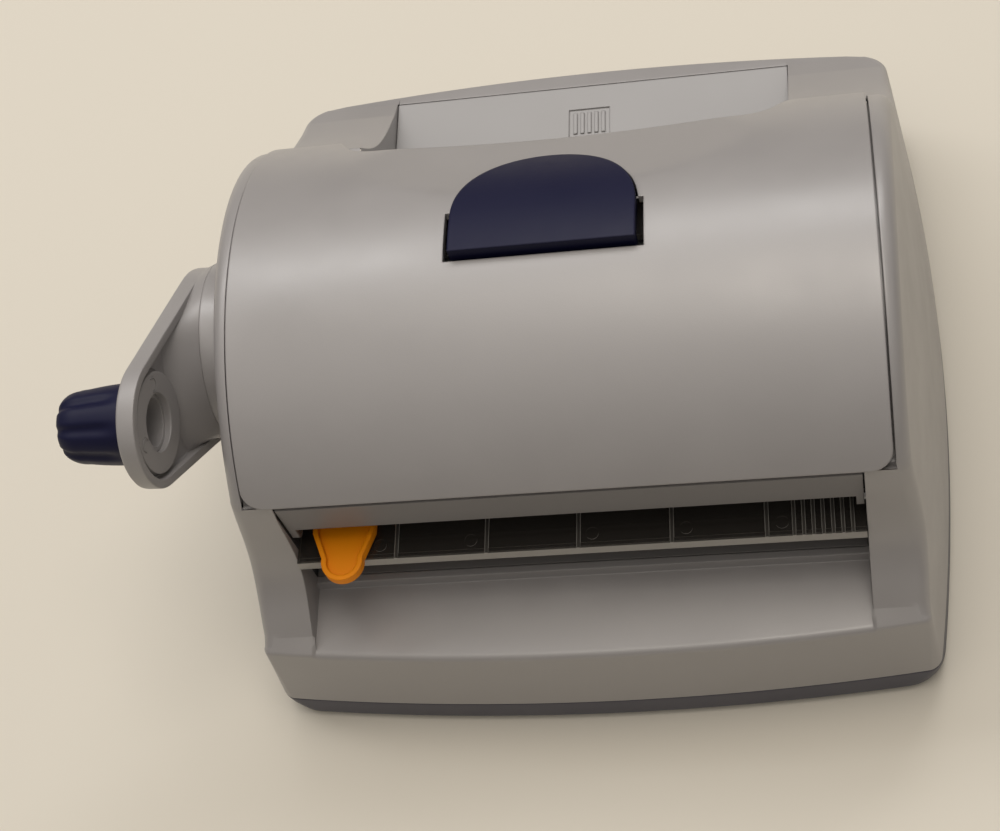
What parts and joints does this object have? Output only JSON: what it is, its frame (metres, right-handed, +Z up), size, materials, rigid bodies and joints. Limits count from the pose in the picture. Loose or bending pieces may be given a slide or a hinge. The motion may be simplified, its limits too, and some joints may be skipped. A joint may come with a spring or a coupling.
{
  "type": "hand-cranked sticker laminator",
  "caption": "Hand-cranked cold laminator with an arched hinged cover, feed tray, exit ramp, sliding cutter, half-round latch button and a side crank.",
  "frame": {"origin": "under the middle of the bounding box, on the table plane that the feet stand on", "axes": "+X away from the crank, along the rollers; +Y toward the feed tray; +Z up; paper comes out toward -Y"},
  "size_m": [0.2421, 0.2138, 0.1275],
  "materials": {
    "shell_grey": "fine moulded texture, light warm grey",
    "tray_grey": "smooth, a little lighter than the shell",
    "inner_grey": "smooth moulded",
    "pan_navy": "fine moulded texture, dark navy",
    "foot_rubber": "matt",
    "screw_steel": "plain zinc",
    "frame_plastic": "dark moulded",
    "rod_steel": "turned",
    "clear_plastic": "clear moulded, polished",
    "bearing_plastic": "natural acetal",
    "cartridge_plastic": "dark moulded",
    "clear_film": "clear wound film",
    "core_board": "wound board",
    "roller_rubber": "ground rubber",
    "gear_plastic": "natural acetal",
    "crank_grey": "fine moulded texture",
    "button_navy": "satin moulded, dark blue",
    "tab_orange": "satin moulded, orange",
    "blade_steel": "ground"
  },
  "bodies": {
    "body": {"base_pan": "pan_navy", "foot_1": "foot_rubber", "foot_2": "foot_rubber", "foot_3": "foot_rubber", "foot_4": "foot_rubber", "base_screw_1": "screw_steel", "base_screw_2": "screw_steel", "base_screw_3": "screw_steel", "base_screw_4": "screw_steel", "housing": "shell_grey", "feed_tray": "tray_grey", "feed_hood": "inner_grey", "side_frame_left": "frame_plastic", "side_frame_right": "frame_plastic", "frame_tie_exit": "rod_steel", "frame_tie_feed": "rod_steel", "catch_bar": "rod_steel", "infeed_guide": "inner_grey", "outfeed_guide": "inner_grey", "cutting_bar": "frame_plastic", "clear_guide": "clear_plastic", "crank_bushing": "bearing_plastic", "cartridge_plate_left": "cartridge_plastic", "cartridge_plate_right": "cartridge_plastic", "cartridge_tie_upper": "cartridge_plastic", "cartridge_tie_lower": "cartridge_plastic", "cartridge_handle": "inner_grey", "upper_film_web": "clear_film", "lower_film_web": "clear_film", "hinge_pin_left": "rod_steel", "hinge_pin_right": "rod_steel"},
    "upper_spool": {"upper_core": "core_board", "upper_film_roll": "clear_film"},
    "lower_spool": {"lower_core": "core_board", "lower_film_roll": "clear_film"},
    "upper_roller": {"upper_roller_shaft": "rod_steel", "upper_roller_sleeve": "roller_rubber", "upper_drive_gear": "gear_plastic", "upper_nip_gear": "gear_plastic"},
    "lower_roller": {"lower_roller_shaft": "rod_steel", "lower_roller_sleeve": "roller_rubber", "lower_nip_gear": "gear_plastic"},
    "crank": {"crank_arm": "crank_grey", "crank_shaft": "rod_steel", "crank_gear": "gear_plastic", "crank_screw": "screw_steel", "knob_post": "crank_grey"},
    "knob": {"knob": "button_navy"},
    "cover": {"cover_shell": "shell_grey", "cover_lip": "shell_grey", "latch_pin": "rod_steel", "latch_spring": "rod_steel"},
    "latch": {"latch_button": "button_navy"},
    "cutter": {"cutter_slider": "tab_orange", "cutter_blade": "blade_steel", "blade_screw": "screw_steel"}
  },
  "joints": [
    {"name": "crank_spin", "type": "hinge", "parent": "body", "child": "crank", "pos_m": [-0.0858, -0.01745, 0.0815], "axis": [1, 0, 0], "continuous": true},
    {"name": "knob_spin", "type": "hinge", "parent": "crank", "child": "knob", "pos_m": [-0.1108, -0.05504, 0.10921], "axis": [1, 0, 0], "continuous": true},
    {"name": "upper_roller_spin", "type": "hinge", "parent": "body", "child": "upper_roller", "pos_m": [0.0142, -0.04789, 0.05555], "axis": [1, 0, 0], "continuous": true},
    {"name": "lower_roller_spin", "type": "hinge", "parent": "body", "child": "lower_roller", "pos_m": [0.0142, -0.04789, 0.03745], "axis": [1, 0, 0], "continuous": true},
    {"name": "upper_spool_spin", "type": "hinge", "parent": "body", "child": "upper_spool", "pos_m": [0.0142, -0.00275, 0.078], "axis": [1, 0, 0], "continuous": true},
    {"name": "lower_spool_spin", "type": "hinge", "parent": "body", "child": "lower_spool", "pos_m": [0.0142, -0.00075, 0.026], "axis": [1, 0, 0], "continuous": true},
    {"name": "cover_hinge", "type": "hinge", "parent": "body", "child": "cover", "pos_m": [0.0142, -0.07215, 0.0722], "axis": [1, 0, 0], "range_deg": [0, 80]},
    {"name": "latch_press", "type": "hinge", "parent": "cover", "child": "latch", "pos_m": [0.0142, 0.01125, 0.11], "axis": [1, 0, 0], "range_deg": [0, 4], "stiffness_Nm_per_rad": 0.4, "springref_deg": -8.02},
    {"name": "cutter_slide", "type": "slide", "parent": "body", "child": "cutter", "axis": [1, 0, 0], "range_m": [0, 0.1312]}
  ],
  "couplings": [
    {"joint": "upper_roller_spin", "follows": "crank_spin", "ratio": -1.5},
    {"joint": "lower_roller_spin", "follows": "crank_spin", "ratio": 1.5},
    {"joint": "upper_spool_spin", "follows": "crank_spin", "ratio": -0.71053},
    {"joint": "lower_spool_spin", "follows": "crank_spin", "ratio": 0.96429}
  ]
}
